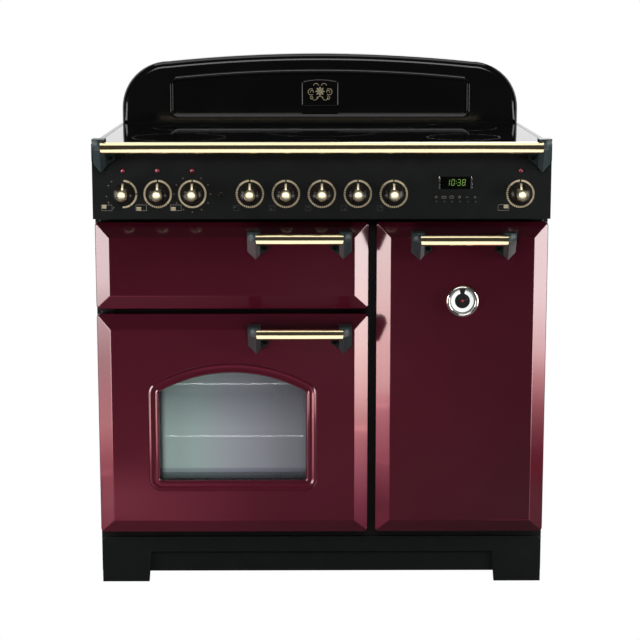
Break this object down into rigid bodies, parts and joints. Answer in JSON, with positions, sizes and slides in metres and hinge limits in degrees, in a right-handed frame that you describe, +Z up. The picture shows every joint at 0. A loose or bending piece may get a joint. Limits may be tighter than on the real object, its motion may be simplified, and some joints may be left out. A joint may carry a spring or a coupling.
{
  "type": "range cooker",
  "caption": "Free-standing electric range cooker with a ceramic hob, splashback, grill door, arched-window oven door and tall oven door, rotary controls and a hand rail.",
  "frame": {"origin": "bottom centre of the whole cooker, on the floor", "axes": "+X to the right seen from the front, +Y to the back, +Z up"},
  "size_m": [0.9, 0.653, 1.0605],
  "materials": {
    "burgundy_enamel": "gloss",
    "black_enamel": "gloss",
    "panel_enamel": "satin",
    "black_paint": "satin",
    "galvanised_steel": "satin",
    "brass": "polished",
    "black_casting": "satin",
    "knob_finish": "gloss",
    "ceramic_glass": "gloss",
    "door_glass": "clear",
    "oven_enamel": "gloss",
    "liner_enamel": "gloss",
    "pan_enamel": "gloss",
    "chromed_wire": "polished",
    "element_steel": "matte",
    "fan_steel": "satin",
    "seal_rubber": "matte",
    "switch_plastic": "matte",
    "lamp_red": "gloss",
    "clock_plastic": "gloss",
    "button_plastic": "satin",
    "gauge_chrome": "polished",
    "needle_red": "gloss",
    "foot_steel": "satin"
  },
  "bodies": {
    "cabinet": {"base_frame": "galvanised_steel", "side_panels": "black_paint", "back_panel": "galvanised_steel", "plinth": "black_enamel", "front_frame": "black_paint", "grill_cavity": "oven_enamel", "left_oven_cavity": "oven_enamel", "right_oven_cavity": "oven_enamel", "hob_frame": "black_enamel", "hob_glass": "ceramic_glass", "hob_elements": "element_steel", "splashback": "black_enamel", "control_panel": "panel_enamel", "knob_switches": "switch_plastic", "indicator_lamps": "lamp_red", "clock_module": "clock_plastic", "hand_rail": "brass", "rail_brackets": "black_casting", "grill_element": "element_steel", "grill_pan": "pan_enamel", "oven_shelves": "chromed_wire", "shelf_ladders": "chromed_wire", "fan_units": "fan_steel", "door_seals": "seal_rubber", "hinge_brackets": "black_paint", "levelling_feet": "foot_steel"},
    "grill_door": {"grill_door_panel": "burgundy_enamel", "grill_door_liner": "liner_enamel", "grill_door_handle_bar": "brass", "grill_door_handle_posts": "black_casting"},
    "left_door": {"left_door_panel": "burgundy_enamel", "left_door_window": "door_glass", "left_door_liner": "liner_enamel", "left_door_inner_glass": "door_glass", "left_door_handle_bar": "brass", "left_door_handle_posts": "black_casting"},
    "right_door": {"right_door_panel": "burgundy_enamel", "right_door_liner": "liner_enamel", "right_door_handle_bar": "brass", "right_door_handle_posts": "black_casting", "thermometer_case": "gauge_chrome"},
    "thermometer_needle": {"thermometer_needle": "needle_red"},
    "left_oven_fan": {"left_oven_fan": "fan_steel"},
    "right_oven_fan": {"right_oven_fan": "fan_steel"},
    "light_button": {"light_button": "button_plastic"},
    "grill_knob": {"grill_knob": "knob_finish"},
    "left_oven_function_knob": {"left_oven_function_knob": "knob_finish"},
    "left_oven_heat_knob": {"left_oven_heat_knob": "knob_finish"},
    "front_left_hob_knob": {"front_left_hob_knob": "knob_finish"},
    "back_left_hob_knob": {"back_left_hob_knob": "knob_finish"},
    "middle_hob_knob": {"middle_hob_knob": "knob_finish"},
    "back_right_hob_knob": {"back_right_hob_knob": "knob_finish"},
    "front_right_hob_knob": {"front_right_hob_knob": "knob_finish"},
    "right_oven_heat_knob": {"right_oven_heat_knob": "knob_finish"},
    "clock_button_1": {"clock_button_1": "button_plastic"},
    "clock_button_2": {"clock_button_2": "button_plastic"},
    "clock_button_3": {"clock_button_3": "button_plastic"},
    "clock_button_4": {"clock_button_4": "button_plastic"},
    "clock_button_5": {"clock_button_5": "button_plastic"},
    "clock_button_6": {"clock_button_6": "button_plastic"}
  },
  "joints": [
    {"name": "grill_door_hinge", "type": "hinge", "parent": "cabinet", "child": "grill_door", "pos_m": [-0.437, -0.2435, 0.663], "axis": [0, 0, 1], "range_deg": [-100, 0]},
    {"name": "left_door_hinge", "type": "hinge", "parent": "cabinet", "child": "left_door", "pos_m": [-0.437, -0.2435, 0.341], "axis": [0, 0, 1], "range_deg": [-100, 0]},
    {"name": "right_door_hinge", "type": "hinge", "parent": "cabinet", "child": "right_door", "pos_m": [0.437, -0.2435, 0.433], "axis": [0, 0, 1], "range_deg": [0, 100]},
    {"name": "needle_turn", "type": "hinge", "parent": "right_door", "child": "thermometer_needle", "pos_m": [0.27725, -0.2815, 0.595], "axis": [0, 1, 0], "range_deg": [0, 250]},
    {"name": "grill_knob_turn", "type": "hinge", "parent": "cabinet", "child": "grill_knob", "pos_m": [-0.388, -0.2815, 0.8075], "axis": [0, 1, 0], "range_deg": [0, 270]},
    {"name": "left_oven_function_knob_turn", "type": "hinge", "parent": "cabinet", "child": "left_oven_function_knob", "pos_m": [-0.3205, -0.2815, 0.8075], "axis": [0, 1, 0], "continuous": true},
    {"name": "left_oven_heat_knob_turn", "type": "hinge", "parent": "cabinet", "child": "left_oven_heat_knob", "pos_m": [-0.253, -0.2815, 0.8075], "axis": [0, 1, 0], "range_deg": [0, 290]},
    {"name": "front_left_hob_knob_turn", "type": "hinge", "parent": "cabinet", "child": "front_left_hob_knob", "pos_m": [-0.14058, -0.2815, 0.8075], "axis": [0, 1, 0], "range_deg": [0, 300]},
    {"name": "back_left_hob_knob_turn", "type": "hinge", "parent": "cabinet", "child": "back_left_hob_knob", "pos_m": [-0.07029, -0.2815, 0.8075], "axis": [0, 1, 0], "range_deg": [0, 300]},
    {"name": "middle_hob_knob_turn", "type": "hinge", "parent": "cabinet", "child": "middle_hob_knob", "pos_m": [0, -0.2815, 0.8075], "axis": [0, 1, 0], "range_deg": [0, 300]},
    {"name": "back_right_hob_knob_turn", "type": "hinge", "parent": "cabinet", "child": "back_right_hob_knob", "pos_m": [0.07029, -0.2815, 0.8075], "axis": [0, 1, 0], "range_deg": [0, 300]},
    {"name": "front_right_hob_knob_turn", "type": "hinge", "parent": "cabinet", "child": "front_right_hob_knob", "pos_m": [0.14058, -0.2815, 0.8075], "axis": [0, 1, 0], "range_deg": [0, 300]},
    {"name": "right_oven_heat_knob_turn", "type": "hinge", "parent": "cabinet", "child": "right_oven_heat_knob", "pos_m": [0.388, -0.2815, 0.8075], "axis": [0, 1, 0], "range_deg": [0, 290]},
    {"name": "left_oven_fan_spin", "type": "hinge", "parent": "cabinet", "child": "left_oven_fan", "pos_m": [-0.177, 0.1925, 0.365], "axis": [0, 1, 0], "continuous": true},
    {"name": "right_oven_fan_spin", "type": "hinge", "parent": "cabinet", "child": "right_oven_fan", "pos_m": [0.27725, 0.1925, 0.448], "axis": [0, 1, 0], "continuous": true},
    {"name": "light_button_press", "type": "slide", "parent": "cabinet", "child": "light_button", "axis": [0, 1, 0], "range_m": [0, 0.002], "stiffness_N_per_m": 400},
    {"name": "clock_button_1_press", "type": "slide", "parent": "cabinet", "child": "clock_button_1", "axis": [0, 1, 0], "range_m": [0, 0.001], "stiffness_N_per_m": 300},
    {"name": "clock_button_2_press", "type": "slide", "parent": "cabinet", "child": "clock_button_2", "axis": [0, 1, 0], "range_m": [0, 0.001], "stiffness_N_per_m": 300},
    {"name": "clock_button_3_press", "type": "slide", "parent": "cabinet", "child": "clock_button_3", "axis": [0, 1, 0], "range_m": [0, 0.001], "stiffness_N_per_m": 300},
    {"name": "clock_button_4_press", "type": "slide", "parent": "cabinet", "child": "clock_button_4", "axis": [0, 1, 0], "range_m": [0, 0.001], "stiffness_N_per_m": 300},
    {"name": "clock_button_5_press", "type": "slide", "parent": "cabinet", "child": "clock_button_5", "axis": [0, 1, 0], "range_m": [0, 0.001], "stiffness_N_per_m": 300},
    {"name": "clock_button_6_press", "type": "slide", "parent": "cabinet", "child": "clock_button_6", "axis": [0, 1, 0], "range_m": [0, 0.001], "stiffness_N_per_m": 300}
  ]
}
